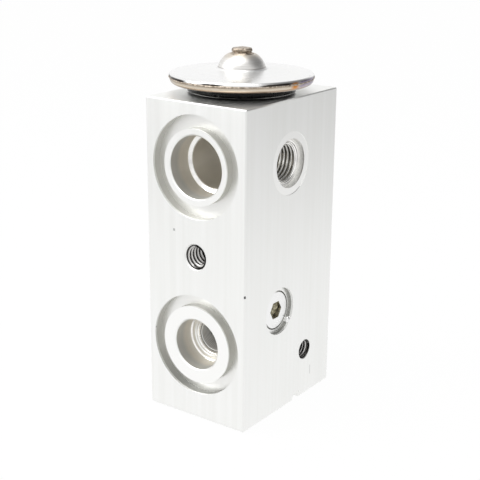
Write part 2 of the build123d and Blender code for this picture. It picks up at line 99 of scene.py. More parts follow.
def make_camera():
    right, up, back = camera_axes()
    aim = np.array([0.0, 0.0, AIM_HEIGHT]) + AIM_RIGHT * right + AIM_UP * up
    data = bpy.data.cameras.new("studio_camera")
    data.lens = FOCAL_MM
    data.sensor_width = SENSOR_MM
    data.clip_start = 0.01
    data.clip_end = 20.0
    camera = bpy.data.objects.new("studio_camera", data)
    bpy.context.scene.collection.objects.link(camera)
    place = np.eye(4)
    place[:3, 0], place[:3, 1], place[:3, 2] = right, up, back
    place[:3, 3] = aim + DISTANCE * back
    camera.matrix_world = Matrix(place.tolist())
    bpy.context.scene.camera = camera
    return camera


camera = make_camera()
print("camera at, mm:", [round(v / MM, 1) for v in camera.location])

# %% [markdown]
# ## Writing shaders as sums
#
# A material in Blender is a graph of nodes. Wiring it by hand is slow to read, so one class
# wraps an output socket, and plain Python arithmetic on it adds the Math nodes. A comparison
# gives a mask, which is 1 where it holds and 0 elsewhere.

# %% Signals
class Signal:
    """One output socket of a graph. Arithmetic on it adds Math nodes."""

    def __init__(self, graph, socket):
        self.graph = graph
        self.socket = socket

    def math(self, operation, *others):
        return self.graph.node("ShaderNodeMath", {"operation": operation}, [self, *others])

    def __add__(self, other):
        return self.math("ADD", other)

    __radd__ = __add__

    def __mul__(self, other):
        return self.math("MULTIPLY", other)

    __rmul__ = __mul__

    def __sub__(self, other):
        return self.math("SUBTRACT", other)

    def __rsub__(self, other):
        return self.graph.node("ShaderNodeMath", {"operation": "SUBTRACT"}, [other, self])

    def __truediv__(self, other):
        return self.math("DIVIDE", other)

    def __lt__(self, other):
        return self.math("LESS_THAN", other)

    def __gt__(self, other):
        return self.math("GREATER_THAN", other)

    def clamped(self):
        return self.graph.node("ShaderNodeClamp", {}, [self, 0.0, 1.0])

    def ramp_between(self, low, high):
        """0 below low, 1 above high, and a straight line between."""
        return self.graph.node("ShaderNodeMapRange", {"clamp": True}, [self, low, high, 0.0, 1.0])


print("signals ready")

# %% [markdown]
# ## One method for every node
#
# Nodes differ in type, in their settings and in what comes in. `Graph.node` takes these three
# and returns the output as a signal, so a line of code is a node. `Finish` is the graph of one
# material, with the few patterns that this object needs: its place in millimetres, the way a
# surface faces, noise, a colour mix and a bump. The world has a graph too, so it shares the
# method.

# %% Graphs and finishes
class Graph:
    """A node tree, with one method that adds any node."""

    def __init__(self, tree):
        self.tree = tree

    def node(self, kind, settings=None, inputs=(), output=0):
        """Add a node: settings first, then values or links, listed in order or by name."""
        made = self.tree.nodes.new(kind)
        for key, value in (settings or {}).items():
            setattr(made, key, value)
        pairs = inputs.items() if isinstance(inputs, dict) else enumerate(inputs)
        for key, value in pairs:
            if isinstance(value, Signal):
                self.tree.links.new(value.socket, made.inputs[key])
            else:
                made.inputs[key].default_value = value
        return Signal(self, made.outputs[output])

    def rays(self, kind):
        """1 for rays of one kind, such as "Is Camera Ray", and 0 for all others."""
        return self.node("ShaderNodeLightPath", output=kind)


class Finish(Graph):
    """A material: its Principled shader and the nodes that feed it."""

    def __init__(self, name, **fixed):
        self.material = bpy.data.materials.new(name)
        self.material.use_nodes = True
        super().__init__(self.material.node_tree)
        self.shader = self.tree.nodes["Principled BSDF"]
        for label, value in fixed.items():
            self.shader.inputs[label.replace("_", " ")].default_value = value

    def feed(self, **links):
        """Link signals to the shader's sockets, named with _ for a space."""
        for label, signal in links.items():
            self.tree.links.new(signal.socket, self.shader.inputs[label.replace("_", " ")])

    def place(self):
        """x, y and z on the object, in millimetres."""
        spot = self.node("ShaderNodeTexCoord", output="Object")
        return [self.node("ShaderNodeSeparateXYZ", {}, [spot], axis) / MM for axis in "XYZ"]

    def turned_away(self):
        """How squarely the surface faces along x, y and z: 1 is square on, 0 is edge on."""
        normal = self.node("ShaderNodeTexCoord", output="Normal")
        parts = [self.node("ShaderNodeSeparateXYZ", {}, [normal], axis) for axis in "XYZ"]
        return [part.math("ABSOLUTE") for part in parts]

    def vector(self, x, y, z):
        return self.node("ShaderNodeCombineXYZ", {}, [x, y, z])

    def noise(self, where, scale, detail=3.0, rough=0.5):
        """Soft noise about 0.5, with its grain in millimetres when where is in millimetres."""
        inputs = {"Vector": where, "Scale": scale, "Detail": detail, "Roughness": rough}
        return self.node("ShaderNodeTexNoise", {}, inputs, "Fac")

    def blend(self, share, first, second):
        """Colour mix: first where share is 0, second where it is 1."""
        return self.node("ShaderNodeMix", {"data_type": "RGBA"},
                         {0: share, 6: first, 7: second}, 2)

    def bump(self, height, distance_mm, strength=1.0):
        inputs = {"Height": height, "Distance": distance_mm * MM, "Strength": strength}
        return self.node("ShaderNodeBump", {}, inputs)


def color(red, green, blue):
    return (red, green, blue, 1.0)


print("finishes ready")

# %% [markdown]
# ## Sizes that the looks share with the solids
#
# The finishes change from place to place: the outside of the block is drawn, its ports are
# turned. The pieces added later sit in its holes. Both need to know where things are, so the
# places are named here once, in millimetres. The block's outline comes from the frame itself.

# %% Places, mm
body_low, body_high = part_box("valve_body")
FRONT_Y = body_low.y / MM
BACK_Y = body_high.y / MM
SIDE_X = body_high.x / MM
TOP_Z = body_high.z / MM
AXIS_Y = -1.0
SUCTION_Z, SUCTION_COLLAR_R = 64.7, 9.25
LIQUID_Z, LIQUID_COLLAR_R = 19.9, 10.0
SENSOR_Y, SENSOR_Z, SENSOR_SPOT_R = -0.9, 64.4, 7.75
SENSOR_SEAT_DEPTH, SENSOR_ROOT_R = 1.55, 5.0
PLUG_Y, PLUG_Z, PLUG_MOUTH_R, PLUG_SINK = -4.5, 27.6, 6.0, 1.2
BRACKET_Y, BRACKET_Z, BRACKET_ROOT_R = 7.4, 13.2, 2.5
FRONT_CLAMP_Z, BACK_CLAMP_Z, CLAMP_ROOT_R = 42.7, 50.5, 3.0
RIM_R, WELD_Z = 17.4, 83.9
SPIGOT_DEPTH, SPIGOT_R = 7.5, 7.6
SMALL_SPIGOT_DEPTH, SMALL_SPIGOT_R, PASSAGE_R, FEED_Z = 6.5, 6.45, 4.0, 37.5
print("block, mm:", round(SIDE_X * 2, 1), "x", round(BACK_Y - FRONT_Y, 1), "x", round(TOP_Z, 1))

# %% [markdown]
# ## Measuring places inside a shader
#
# A shader is asked about one point at a time, so everything it knows about the block has to be
# worked out from that point: how far it is from a hole's axis, and how deep below the skin. The
# turning tool's rings are waves of those two distances.

# %% Distances and rings
RING_PITCH = 0.25
DRILL_PITCH = 0.5
DEPTH_RAMP = 0.4


def radius_from(u, v, u0, v0):
    """Distance in a plane from the point (u0, v0), in millimetres."""
    return ((u - u0) * (u - u0) + (v - v0) * (v - v0)).math("SQRT")


def rings(distance):
    """A wave of one ring per tool pitch: 0 in the groove, 0.5 on the ridge."""
    return ((distance * (1 / RING_PITCH)).math("FRACT") - 0.5).math("ABSOLUTE")


def wide_rings(distance):
    """Coarse drill marks: a soft wave from 0 to 1, one for each drill pitch."""
    return ((distance * (1 / DRILL_PITCH)).math("FRACT") - 0.5).math("ABSOLUTE") * 2.0


def near_depth(depth, start):
    """1 deeper than start, with a short ramp."""
    return depth.ramp_between(start, start + DEPTH_RAMP)


def depth_inside(x, y, z):
    """Distance inwards from the nearest outer face of the block."""
    inside_x = SIDE_X - x.math("ABSOLUTE")
    inside_y = BACK_Y - y.math("ABSOLUTE")
    return inside_x.math("MINIMUM", inside_y).math("MINIMUM", z).math("MINIMUM", TOP_Z - z)


print("rings every", RING_PITCH, "mm")

# %% [markdown]
# ## The marks of handling
#
# A valve that has lain in a box with others has a few marks. They are too shallow to model and
# too few for noise, so each is a short line at a named place. A line is the smaller of two
# ridges that cross, one along it and one across.

# %% Handling marks
SKIN_DEPTH = 0.45
MARK_EDGE = 3.0
SCRATCH = (10.4, 6.4, 0.16, 1.5)
EDGE_NICK = (SIDE_X - 0.1, 35.7, 0.22, 0.38)
SPECKS = [(-6.4, 48.5, 0.35), (-1.9, 22.6, 0.3), (-12.6, 21.5, 0.25)]


def line_mark(u, v, u0, v0, u_half, v_half):
    """A short soft line, such as a scratch: 1 on it and 0 off it."""
    across = 1 - ((u - u0) * (1 / u_half)).math("ABSOLUTE")
    along = 1 - ((v - v0) * (1 / v_half)).math("ABSOLUTE")
    return (across.math("MINIMUM", along) * MARK_EDGE).clamped()


def handling_marks(x, y, z):
    """One scratch on the side, one nick on the edge and the specks on the front."""
    on_side = x > SIDE_X - SKIN_DEPTH
    on_front = y < FRONT_Y + SKIN_DEPTH
    marks = line_mark(y, z, *SCRATCH) * on_side * 0.35
    marks = marks + line_mark(x, z, *EDGE_NICK) * on_front
    for u, v, size in SPECKS:
        marks = marks + line_mark(x, z, u, v, size, size) * on_front * 0.5
    return marks.clamped()


print(2 + len(SPECKS), "handling marks")

# %% [markdown]
# ## Where each finish lies
#
# The block is cut from a drawn bar. The die leaves fine upright lines, and tumbling dulls them.
# Every port is turned after that, so its faces carry rings, and the walls behind them are painted
# greyer near the mouth, as painted shade in the grooves. Masks worked out from the place on the
# block say which finish is where: the distance from the outside tells the holes from the skin, and
# the direction that a surface faces tells a step in a hole from its wall. Vertex paint would
# also do it, but it would be tied to this one mesh.

# %% Masks of the block
SKIN_RAMP = 0.2
STEP_FACING = 0.6
NEAR_PLUG_R = PLUG_MOUTH_R + 0.5
GROOVE_DEPTHS = (3.0, 4.0)
SEAT_END = SENSOR_SEAT_DEPTH + 0.1


class BlockMasks:
    """Places, distances and masks of the block, as signals of one finish."""

    def __init__(self, f):
        self.x, self.y, self.z = x, y, z = f.place()
        self.depth = depth_inside(x, y, z)
        self.to_suction = radius_from(x, z, 0.0, SUCTION_Z)
        self.to_liquid = radius_from(x, z, 0.0, LIQUID_Z)
        self.to_sensor = radius_from(y, z, SENSOR_Y, SENSOR_Z)
        self.to_plug = radius_from(y, z, PLUG_Y, PLUG_Z)
        self.right_half = x > 0.0
        near_sensor = self.to_sensor < SENSOR_SPOT_R
        side_hole = (near_sensor + (self.to_plug < NEAR_PLUG_R)) * self.right_half
        self.side_hole = side_hole.clamped()
        self.find_walls(f, near_sensor)
        self.find_ledges(near_sensor)

    def find_walls(self, f, near_sensor):
        """Below the skin, a surface square to its hole's axis is a step and the rest is wall."""
        facing_x, facing_y, _ = f.turned_away()
        facing = f.blend(self.side_hole, facing_y, facing_x)
        inner = self.depth.ramp_between(SKIN_DEPTH, SKIN_DEPTH + SKIN_RAMP)
        self.steps = inner * (facing > STEP_FACING)
        self.walls = (inner - self.steps).clamped()
        near_front = self.y < FRONT_Y + SKIN_DEPTH
        near_side = self.x > SIDE_X - SKIN_DEPTH
        collars = (self.to_suction < SUCTION_COLLAR_R) + (self.to_liquid < LIQUID_COLLAR_R)
        self.faced = (collars * near_front + near_sensor * near_side + self.steps).clamped()

    def find_ledges(self, near_sensor):
        """Shallow steps are groove floors. Ledges are the suction port's steps and the seat."""
        not_deep = 1 - self.depth.ramp_between(*GROOVE_DEPTHS)
        self.groove_floor = self.steps * not_deep * (1 - self.side_hole)
        self.seat = near_sensor * self.right_half * (self.depth < SEAT_END)
        in_suction = (self.steps - self.groove_floor).clamped()
        in_suction = in_suction * (self.to_suction < SUCTION_COLLAR_R)
        self.ledge = in_suction.math("MAXIMUM", self.steps * self.seat)


print("groove floors reach down to", GROOVE_DEPTHS[0], "mm")

# %% [markdown]
# ## Colours of the block
#
# Bare aluminium is nearly white where a tool has just faced it and duller on the drawn skin.
# Inside the holes it goes from a grey of painted shade to a warm tone with depth, and the groove
# floors are painted a little darker than other turned faces, also as painted shade. Each special
# wall is laid over the last one by a colour mix whose factor is its mask, as a painter works from
# the ground up.

# %% Skin and wall colours
SKIN = color(0.93, 0.933, 0.92)
SKIN_SHADE = color(0.895, 0.898, 0.88)
FACED = color(0.97, 0.97, 0.955)
# Groove floors, and walls near a mouth, are darkened as painted shade in the recesses.
GROOVE_FLOOR_PAINTED_SHADE = color(0.90, 0.90, 0.88)
PAINTED_GROOVE_SHADE = color(0.60, 0.595, 0.56)
DEEP_WALL = color(0.75, 0.71, 0.63)
PASSAGE_RING = color(0.40, 0.395, 0.38)
PASSAGE_WALL = color(0.95, 0.94, 0.92)
DARK_WALL_PATCH = color(0.36, 0.36, 0.34)
PAINTED_THREAD_SHADE = color(0.13, 0.125, 0.115)
LEDGE = color(0.97, 0.96, 0.93)
SEAT_WALL = color(0.85, 0.85, 0.83)
SKIN_TONES = (0.38, 0.62)
WALL_TONE_DEPTHS = (2.6, 4.0)
PASSAGE_START = 7.0
DARK_PATCH_HEIGHTS = (LIQUID_Z - 11.0, LIQUID_Z - 4.0)
DARK_PATCH_RADII = (LIQUID_COLLAR_R + 1.0, 14.0)
PLUG_SHADE_DEPTH = 2.0


def outer_color(f, m, tone):
    """Skin in two close tones, turned faces brighter, then groove floors darkened as painted shade,
    and ledges.
    """
    skin = f.blend(tone.ramp_between(*SKIN_TONES), SKIN_SHADE, SKIN)
    outer = f.blend(m.faced, skin, FACED)
    outer = f.blend(m.groove_floor, outer, GROOVE_FLOOR_PAINTED_SHADE)
    return f.blend(m.ledge, outer, LEDGE)


def wall_color(f, m, passage, blotch):
    """Painted shade grey to a warm tone with depth, then the seat, the passage, darker walls low in
    the liquid port's groove, and painted shade in the plug's mouth and the clamp hole.
    """
    wall_depth_share = (m.depth.ramp_between(*WALL_TONE_DEPTHS) + (blotch - 0.5) * 0.35).clamped()
    inside = f.blend(wall_depth_share, PAINTED_GROOVE_SHADE, DEEP_WALL)
    inside = f.blend(m.seat, inside, SEAT_WALL)
    drilled = f.blend(wide_rings(m.depth), PASSAGE_WALL, PASSAGE_RING)
    inside = f.blend(passage, inside, drilled)
    # Darker towards the bottom of the liquid port's groove.
    low = 1 - m.z.ramp_between(*DARK_PATCH_HEIGHTS)
    in_groove = (m.to_liquid > DARK_PATCH_RADII[0]) * near_depth(DARK_PATCH_RADII[1] - m.to_liquid, 0.0)
    inside = f.blend(in_groove * low, inside, DARK_WALL_PATCH)
    # The wall of the plug's mouth is painted dark as painted shade.
    plug_mouth = (m.to_plug < NEAR_PLUG_R) * m.right_half * (m.depth < PLUG_SHADE_DEPTH)
    inside = f.blend(plug_mouth, inside, DARK_WALL_PATCH)
    # The clamp hole's tapped wall is painted dark as painted shade.
    to_clamp = radius_from(m.x, m.z, 0.0, FRONT_CLAMP_Z)
    tapped = (to_clamp < CLAMP_ROOT_R + 0.1) * (m.y < 0.0)
    return f.blend(tapped, inside, PAINTED_THREAD_SHADE)


print("block colours named")

# %% [markdown]
# ## The block's one material
#
# The colours meet here with the relief. Die lines are noise stretched far along the bar, and
# turned faces have rings about the nearest hole's axis, so the light runs round them as it does
# round a real turned face. The relief goes through a Bump node, since it is far too fine for
# the mesh.

# %% The block's material
MARK = color(0.10, 0.10, 0.10)
SKIN_ROUGH, TURNED_ROUGH = 0.34, 0.30
RELIEF_MM = 0.02


def cut_relief(f, m):
    """Rings about the nearest hole on the turned faces, and along the depth on the walls."""
    on_side = m.to_sensor.math("MINIMUM", m.to_plug)
    radial = f.blend(m.side_hole, m.to_suction.math("MINIMUM", m.to_liquid), on_side)
    return f.blend(m.walls, rings(radial) * m.faced, rings(m.depth) * 1.4)


def block_finish():
    """Drawn skin, turned faces, ringed walls painted darker as painted shade, and a few marks."""
    f = Finish("drawn_aluminium")
    m = BlockMasks(f)
    drawn = f.noise(f.vector(m.x * 0.9, m.y * 0.9, m.z * 0.02), 1.0, 4.0, 0.5)
    broad = f.noise(f.vector(m.x * 0.16, m.y * 0.16, m.z * 0.03), 1.0, 2.0)
    grain = f.noise(f.vector(m.x, m.y, m.z), 3.0, 3.0)
    blotch = f.noise(f.vector(m.x, m.y, m.z), 0.35, 3.0)
    marks = handling_marks(m.x, m.y, m.z)
    passage = (m.to_liquid < PASSAGE_R + 0.2) * near_depth(m.depth, PASSAGE_START)
    outer = outer_color(f, m, drawn * 0.6 + broad * 0.4)
    inside = wall_color(f, m, passage, blotch)
    raw = 1 - (m.faced + m.walls).clamped()
    height = (drawn * 0.7 + grain * 0.3) * raw + cut_relief(f, m) * 0.5 - marks
    top_face = m.z > TOP_Z - 0.1
    f.feed(Base_Color=f.blend(marks, f.blend(m.walls, outer, inside), MARK),
           Roughness=(SKIN_ROUGH + 0.10 * drawn + 0.04 * top_face) * raw
           + (1 - raw) * (TURNED_ROUGH + 0.12 * blotch) + 0.12 * m.walls,
           Metallic=1 - 0.4 * m.walls - 0.6 * passage * m.walls - 0.5 * m.ledge,
           Normal=f.bump(height, RELIEF_MM, 0.35))
    return f.material


def dress(name, material):
    """Give a CAD node's object one material."""
    for slot in nodes[name].material_slots:
        slot.material = material


dress("valve_body", block_finish())
print("block dressed")

# %% [markdown]
# ## Polished stainless with a welder's heat tint
#
# The two covers of the power head are pressed from stainless steel and polished, then welded
# together round the rim. Heat leaves bands of oxide there, from straw to brown to blue as the
# metal got hotter. It is strongest at the weld, and again at the filling plug on the dome. The
# tint goes by height and by the angle round the head, since a weld starts and ends somewhere:
# where it overlaps itself the metal got hottest, and turned orange and violet. Over the tint lie
# painted shade on the rim's downward lower edge, dark streaks above the weld that are partly
# painted shade in its crease and partly dark oxide, and a ring of painted shade at the dome's foot.

# %% Head materials
CLEAN = color(0.90, 0.90, 0.895)
STRAW = color(0.60, 0.50, 0.37)
BROWN = color(0.26, 0.15, 0.075)
DARK_OXIDE_AND_SHADE = color(0.035, 0.028, 0.022)
ORANGE = color(0.60, 0.25, 0.06)
VIOLET = color(0.34, 0.29, 0.40)
BRUSHED = color(0.60, 0.58, 0.55)
DOME_FOOT_PAINTED_SHADE = color(0.30, 0.28, 0.26)
RIM_BAND = (RIM_R - 1.3, RIM_R - 0.1)
LOW_EDGE_SHADE_Z = (82.85, 83.15)
BAND_FOOT, BAND_TOP = (82.6, 83.2), (84.3, 84.7)
DOME_FOOT_Z, DOME_TOP_Z = 86.2, 89.25
DOME_R = 5.7
TO_DEGREES = 180 / math.pi
DARK_STREAK_ARCS = [(-38, -12), (-86, -71), (-150, -104), (0, 34), (100, 150)]
LAP_ARC = (-12, -6)
VIOLET_ARC = (-5, 24)


def arc(angle, low, high, soft=4.0):
    """1 for angles between low and high, in degrees, with soft ends."""
    rise = angle.ramp_between(low - soft, low + soft)
    return rise * (1 - angle.ramp_between(high - soft, high + soft))


def heat_tint(f, at_rim, angle, z, swirl, wisps):
    """Clean steel, then straw below the weld, brown at it, painted shade at the rim's lower edge,
    dark streaks of painted shade and oxide above the weld, and violet and orange arcs.
    """
    below = 1 - (z + (swirl - 0.5) * 0.5).ramp_between(WELD_Z - 0.15, WELD_Z + 0.15)
    tint = f.blend(below * at_rim * (0.55 + 0.45 * wisps), CLEAN, STRAW)
    at_weld = (1 - ((z - WELD_Z) * 2.6).math("ABSOLUTE")).clamped() * at_rim
    tint = f.blend((at_weld * (wisps * 1.5)).clamped(), tint, BROWN)
    # The rim's downward-facing lower edge is painted brown as painted shade.
    painted_low_edge_shade = (1 - z.ramp_between(*LOW_EDGE_SHADE_Z)) * at_rim
    tint = f.blend(painted_low_edge_shade * 0.85, tint, BROWN)
    # Dark streaks above the weld: partly painted shade in the crease, partly dark oxide.
    dark_streaks = arc(angle, *DARK_STREAK_ARCS[0])
    for low, high in DARK_STREAK_ARCS[1:]:
        dark_streaks = dark_streaks + arc(angle, low, high)
    upper = (1 - ((z - WELD_Z - 0.35) * 2.8).math("ABSOLUTE")).clamped() * at_rim
    tint = f.blend((dark_streaks * upper * (wisps * 3.4)).clamped(), tint, DARK_OXIDE_AND_SHADE)
    band = z.ramp_between(*BAND_FOOT) * (1 - z.ramp_between(*BAND_TOP)) * at_rim
    tint = f.blend(arc(angle, *VIOLET_ARC) * band * (wisps * 1.7).clamped(), tint, VIOLET)
    return f.blend(arc(angle, *LAP_ARC, soft=2.0) * band, tint, ORANGE)


def head_finish():
    """Polished steel: heat tint at the rim, lathe lines on the dome, straw by its plug, and painted
    shade at the dome's foot.
    """
    f = Finish("polished_stainless", Metallic=1.0)
    x, y, z = f.place()
    out = radius_from(x, y, 0.0, AXIS_Y)
    angle = (y - AXIS_Y).math("ARCTAN2", x) * TO_DEGREES
    swirl = f.noise(f.vector(x, y, z), 0.30, 3.0)
    wisps = f.noise(f.vector(x * 0.5, y * 0.5, z * 3.0), 1.0, 4.0)
    fine = f.noise(f.vector(x, y, z), 4.0, 3.0)
    lathe = f.noise(f.vector(x * 0.15, y * 0.15, z * 4.0), 1.0, 4.0, 0.6)
    at_rim = out.ramp_between(*RIM_BAND)
    tint = heat_tint(f, at_rim, angle, z, swirl, wisps)
    near_plug = (z + (swirl - 0.5) * 1.5).ramp_between(DOME_TOP_Z - 1.4, DOME_TOP_Z + 0.6)
    on_dome = 1 - out.ramp_between(DOME_R - 0.1, DOME_R + 0.7)
    brushed = on_dome * z.ramp_between(DOME_FOOT_Z - 0.4, DOME_FOOT_Z + 0.2)
    dulled = f.blend(brushed * (lathe * 1.1).clamped(), tint, BRUSHED)
    # A dark ring at the dome's foot is painted shade in the crease.
    foot = (1 - ((z - DOME_FOOT_Z) * 5.0).math("ABSOLUTE")).clamped() * (out < DOME_R + 0.6)
    dulled = f.blend(foot * 0.7, dulled, DOME_FOOT_PAINTED_SHADE)
    beside_dome = 1 - out.ramp_between(DOME_R, RIM_R - 3.0)
    f.feed(Base_Color=f.blend(near_plug * 0.7 * brushed, dulled, STRAW),
           Roughness=0.20 + 0.05 * fine + 0.14 * beside_dome - 0.08 * at_rim,
           Normal=f.bump(fine + lathe * brushed * 2.0, 0.01, 0.4))
    return f.material


HEAD_STEEL = head_finish()
for name in ("head_upper_cover", "head_lower_cover", "diaphragm"):
    dress(name, HEAD_STEEL)
print("head dressed")

# %% [markdown]
# ## Plain pieces
#
# The other metals and the rubbers are close to one colour each, but never quite: steel and
# brass are darker in patches, and rubber has a faint bloom. One function makes them all, from
# two close colours mixed by soft noise, with a finer noise as relief.

# %% Plain materials
def patchy(name, first, second, roughness, grain=0.8, metallic=1.0, relief=0.01, **fixed):
    """Two close colours in soft patches, with a fine relief."""
    f = Finish(name, Metallic=metallic, **fixed)
    x, y, z = f.place()
    patches = f.noise(f.vector(x, y, z), grain, 4.0)
    fine = f.noise(f.vector(x, y, z), 5 * grain, 3.0)
    f.feed(Base_Color=f.blend(patches.ramp_between(0.35, 0.65), first, second),
           Roughness=roughness + 0.15 * patches, Normal=f.bump(fine, relief, 0.5))
    return f.material


STEEL = patchy("turned_steel", color(0.62, 0.61, 0.59), color(0.50, 0.49, 0.47), 0.25)
BRASS = patchy("turned_brass", color(0.74, 0.58, 0.30), color(0.60, 0.45, 0.22), 0.28)
PALE_ROD = patchy("rod_aluminium", color(0.72, 0.71, 0.68), color(0.62, 0.60, 0.56), 0.30)
RUBBER = patchy("oiled_rubber", color(0.004, 0.004, 0.004), color(0.012, 0.012, 0.012), 0.16,
                metallic=0.0, relief=0.03, Specular_IOR_Level=0.25)
BURNT = patchy("burnt_weld", color(0.66, 0.57, 0.47), color(0.22, 0.18, 0.14), 0.30, 1.3,
               relief=0.05)
PASTE = patchy("dried_paste", color(0.10, 0.085, 0.04), color(0.52, 0.48, 0.33), 0.5, 1.5,
               metallic=0.0, relief=0.08)
TURNED = patchy("turned_edge", color(0.96, 0.95, 0.93), color(0.90, 0.89, 0.87), 0.14)
by_slot = {
    "plain_steel": STEEL, "screw_brass": BRASS, "rod_aluminium": PALE_ROD, "black_rubber": RUBBER,
}
for part in frame["record"]["subparts"]:
    if part["material_slot"] in by_slot:
        dress(part["node"], by_slot[part["material_slot"]])
print("plain pieces dressed")

# %% [markdown]
# ## The side plug
#
# A small threaded plug closes the side drilling. Its face is freshly turned and bright, so one
# material with rings about the plug's own axis does for it.

# %% Side plug material
PLUG_FACE = color(0.92, 0.92, 0.915)
SOCKET_SHADE = color(0.45, 0.43, 0.37)


def plug_finish():
    """Bright turned face with rings, a little duller in the key socket."""
    f = Finish("faced_plug", Metallic=1.0)
    x, y, z = f.place()
    out = radius_from(y, z, PLUG_Y, PLUG_Z)
    sunk = 1 - x.ramp_between(SIDE_X - PLUG_SINK - 0.3, SIDE_X - PLUG_SINK - 0.1)
    f.feed(Base_Color=f.blend(sunk, PLUG_FACE, SOCKET_SHADE),
           Roughness=0.30 + 0.1 * sunk, Normal=f.bump(rings(out), 0.008, 0.4))
    return f.material


BRIGHT_PLUG = plug_finish()
dress("side_plug", BRIGHT_PLUG)
print("side plug dressed")

# %% [markdown]
# ## Surfaces from arrays
#
# Every new piece is a tube of rings: a closed outline carried along a path. numpy works out
# all its points at once, and one function joins each ring to the next with four-sided faces.
# A tube either closes on itself, like a bead round a rim, or has a flat cap at both ends.
# Points that coincide, as where a ring shrinks to a pole, are merged, and the faces are then
# turned outwards. Rough lines come from sines of whole orders, which close without a seam.

# %% Mesh helpers
SHARP_ABOVE = math.radians(50)
MERGE_M = 1e-7


def add_tube(name, points, body, material, looped=False):
    """Joins each ring of points to the next one with four-sided faces.

    points has the shape (rings, points in a ring, 3), in millimetres."""
    count, around = points.shape[:2]
    first = np.arange(count if looped else count - 1)[:, None] * around
    second = (first + around) % (count * around)
    here = np.arange(around)[None]
    beside = (here + 1) % around
    quads = np.stack([first + here, first + beside, second + beside, second + here], axis=-1)
    faces = quads.reshape(-1, 4).tolist()
    if not looped:
        faces += [list(range(around)), list(range((count - 1) * around, count * around))]
    mesh = bpy.data.meshes.new(name)
    mesh.from_pydata((points.reshape(-1, 3) * MM).tolist(), [], faces)
    shell = bmesh.new()
    shell.from_mesh(mesh)
    bmesh.ops.remove_doubles(shell, verts=shell.verts, dist=MERGE_M)
    bmesh.ops.recalc_face_normals(shell, faces=shell.faces)
    shell.to_mesh(mesh)
    shell.free()
    mesh.polygons.foreach_set("use_smooth", np.ones(len(mesh.polygons), dtype=bool))
    mesh.set_sharp_from_angle(angle=SHARP_ABOVE)
    mesh.materials.append(material)
    piece = bpy.data.objects.new(name, mesh)
    bpy.context.scene.collection.objects.link(piece)
    if body:
        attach(piece, body)
    print(name, len(mesh.polygons), "faces")
    return piece


def waves(turn, orders, seed):
    """Sum of sines of whole orders round a circle: a rough line that closes on itself."""
    total = np.zeros_like(turn)
    for index, order in enumerate(orders):
        total += np.sin(order * turn + seed * (index + 1.7)) / (1 + index)
    return total


print("surfaces ready")

# %% [markdown]
# ## Threads
#
# A tapped hole carries a ridge that winds inwards as a helix. The solid model keeps the plain
# cylinder at the thread's root, so the ridge is added here: a four-cornered outline, wide on
# the wall and narrow at its crest, carried along the helix. Where the lead-in chamfer has cut
# the first turn away, the crest can reach in only as far as the chamfer's cone, and at the
# deep end the crest fades out over one turn, as the tap's taper leaves it.

# %% Thread ridges
STEPS_A_TURN = 48
SINK = 0.04
FIRST_DEPTH = 0.15
RIDGE_OUTLINE = np.array([-0.46, -0.09, 0.09, 0.46])
# The roots of the threads are painted dark as painted shade in their hollows.
CREST = color(0.86, 0.85, 0.83)
PAINTED_ROOT_SHADE = color(0.035, 0.033, 0.030)
PALE_PAINTED_ROOT_SHADE = color(0.42, 0.41, 0.37)


def thread_finish(name, plane, centre, root, crest, root_shade_color):
    """Bright where the crest is, and painted shade at the root."""
    f = Finish(name, Metallic=1.0)
    spot = dict(zip("xyz", f.place()))
    out = radius_from(spot[plane[0]], spot[plane[1]], *centre)
    grain = f.noise(f.vector(*spot.values()), 3.0, 3.0)
    share = out.ramp_between(crest + 0.02, crest + 0.65 * (root - crest))
    f.feed(Base_Color=f.blend(share, CREST, root_shade_color), Roughness=0.22 + 0.15 * grain)
    return f.material


def thread_ridge(name, mouth, frame_axes, root, crest, pitch, length, chamfer, material):
    """Helix: the angle grows with depth. The crest's radius is the larger of its own radius and
    the chamfer's cone, which narrows by one millimetre in each millimetre of depth."""
    first, second, inward = (np.array(axis, dtype=float) for axis in frame_axes)
    turns = length / pitch
    angle = np.linspace(0, turns * 2 * np.pi, int(turns * STEPS_A_TURN))
    depth = FIRST_DEPTH + angle / (2 * np.pi) * pitch
    cone = root + chamfer - depth
    fade = np.clip((length + FIRST_DEPTH - depth) / pitch, 0, 1)
    tip = np.minimum(np.maximum(crest, cone), root)
    tip = root - (root - tip) * fade
    foot = np.full_like(angle, root + SINK)
    radius = np.stack([foot, tip, tip, foot], 1)
    along = depth[:, None] + RIDGE_OUTLINE * pitch
    ray = np.cos(angle)[:, None] * first + np.sin(angle)[:, None] * second
    points = np.array(mouth) + radius[..., None] * ray[:, None] + along[..., None] * inward
    return add_tube(name, points, "valve_block", material)


print("thread helpers ready")

# %% [markdown]
# ## The four tapped holes
#
# Two holes take the screws of the pipe clamps, a small one takes a bracket, and the widest one
# takes a sensor. Each hole is told by its mouth and three axes: two across the hole and one
# inwards. The root of each thread is painted dark as painted shade, paler in the sensor's thread.

